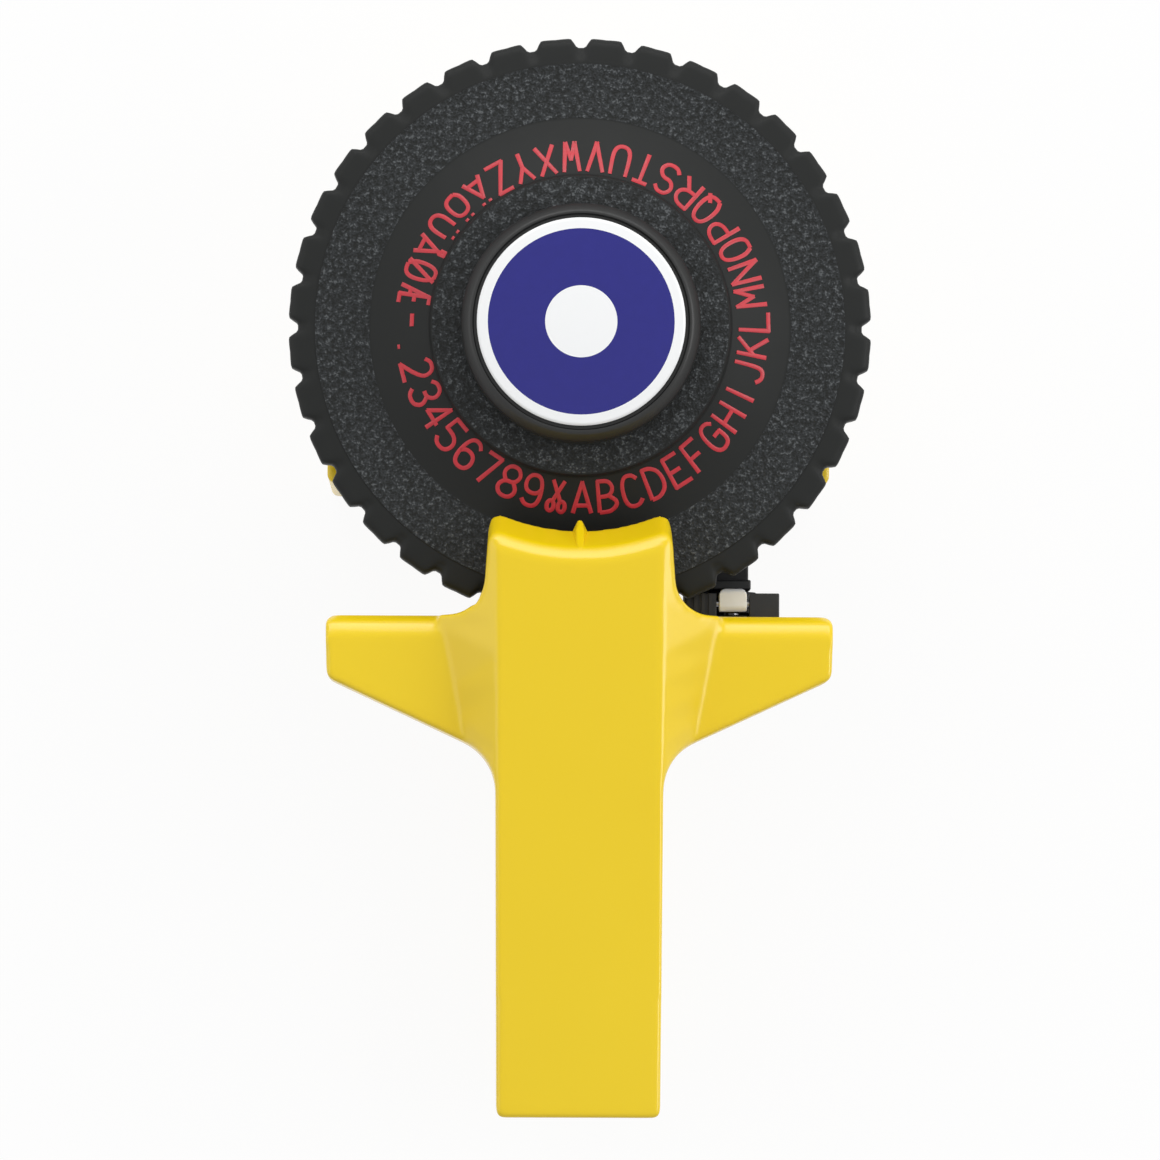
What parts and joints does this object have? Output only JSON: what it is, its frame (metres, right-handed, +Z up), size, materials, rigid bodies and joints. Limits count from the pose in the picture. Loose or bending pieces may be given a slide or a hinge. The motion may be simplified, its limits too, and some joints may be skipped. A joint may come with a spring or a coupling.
{
  "type": "embossing label maker",
  "caption": "Hand-squeezed embossing label maker: a character dial over a housing, with a T-shaped squeeze lever reaching over its rim.",
  "frame": {"origin": "middle of the box's underside, on the surface that the tool lies on", "axes": "+Z up through the dial, +Y from the grips towards the dial"},
  "size_m": [0.0748, 0.1386, 0.0517],
  "materials": {
    "yellow_plastic": "glossy moulded",
    "black_plastic": "fine sparked texture with smooth bands",
    "die_plastic": "smooth moulded",
    "white_plastic": "smooth moulded",
    "bright_steel": "bright zinc plated",
    "spring_steel": "drawn wire",
    "embossing_tape": "glossy"
  },
  "bodies": {
    "root": {"lower_body": "yellow_plastic", "deck_plate": "yellow_plastic", "deck_screw_1": "bright_steel", "deck_screw_2": "bright_steel", "deck_screw_3": "bright_steel", "deck_screw_4": "bright_steel", "detent_spring": "spring_steel", "wheel_post": "bright_steel", "post_washer": "bright_steel", "post_screw": "bright_steel", "anvil": "bright_steel", "lever_pin": "bright_steel", "left_pin_clip": "spring_steel", "right_pin_clip": "spring_steel", "return_spring": "spring_steel", "feed_bracket": "black_plastic", "bracket_screw_1": "bright_steel", "bracket_screw_2": "bright_steel", "tape_guide": "black_plastic", "guide_screw_1": "bright_steel", "guide_screw_2": "bright_steel", "pressure_pin": "bright_steel", "cover_pin": "bright_steel"},
    "dial": {"dial": "black_plastic", "upper_die_ring": "die_plastic", "lower_die_ring": "die_plastic", "die_spacer": "black_plastic", "cut_blade": "bright_steel", "hub_cap": "black_plastic", "hub_badge": "white_plastic", "wave_washer": "spring_steel"},
    "lever": {"upper_lever": "yellow_plastic", "lever_yoke": "bright_steel", "yoke_screw_1": "bright_steel", "yoke_screw_2": "bright_steel", "press_pad": "black_plastic"},
    "feed": {"feed_axle": "bright_steel", "feed_roller": "black_plastic", "ratchet_wheel": "bright_steel"},
    "pawl": {"feed_pawl": "black_plastic"},
    "pressure": {"pressure_tab": "white_plastic"},
    "cover": {"magazine_cover": "yellow_plastic"},
    "roll": {"tape_core": "white_plastic", "tape_roll": "embossing_tape"}
  },
  "joints": [
    {"name": "lever_squeeze", "type": "hinge", "parent": "root", "child": "lever", "pos_m": [0, 0.03985, 0.02275], "axis": [1, 0, 0], "range_deg": [0, 5], "stiffness_Nm_per_rad": 3, "springref_deg": -5.73, "deforming": ["return_spring"]},
    {"name": "dial_spin", "type": "hinge", "parent": "root", "child": "dial", "pos_m": [0, 0.03185, 0.0414], "axis": [0, 0, 1], "continuous": true, "deforming": ["detent_spring"]},
    {"name": "feed_spin", "type": "hinge", "parent": "root", "child": "feed", "pos_m": [0.0199, -0.00305, 0.0296], "axis": [0, 1, 0], "continuous": true},
    {"name": "pawl_swing", "type": "hinge", "parent": "root", "child": "pawl", "pos_m": [0.0199, -0.00815, 0.0296], "axis": [0, -1, 0], "range_deg": [0, 30]},
    {"name": "tab_lift", "type": "hinge", "parent": "root", "child": "pressure", "pos_m": [0.0199, -0.00331, 0.0356], "axis": [1, 0, 0], "range_deg": [0, 40], "stiffness_Nm_per_rad": 0.002, "springref_deg": -11.46},
    {"name": "cover_open", "type": "hinge", "parent": "root", "child": "cover", "pos_m": [0, 0.06325, 0.0013], "axis": [1, 0, 0], "range_deg": [0, 110]},
    {"name": "tape_spin", "type": "hinge", "parent": "root", "child": "roll", "pos_m": [0, 0.03985, 0.0075], "axis": [0, 0, 1], "continuous": true}
  ],
  "couplings": [
    {"joint": "pawl_swing", "follows": "lever_squeeze", "ratio": 6}
  ]
}
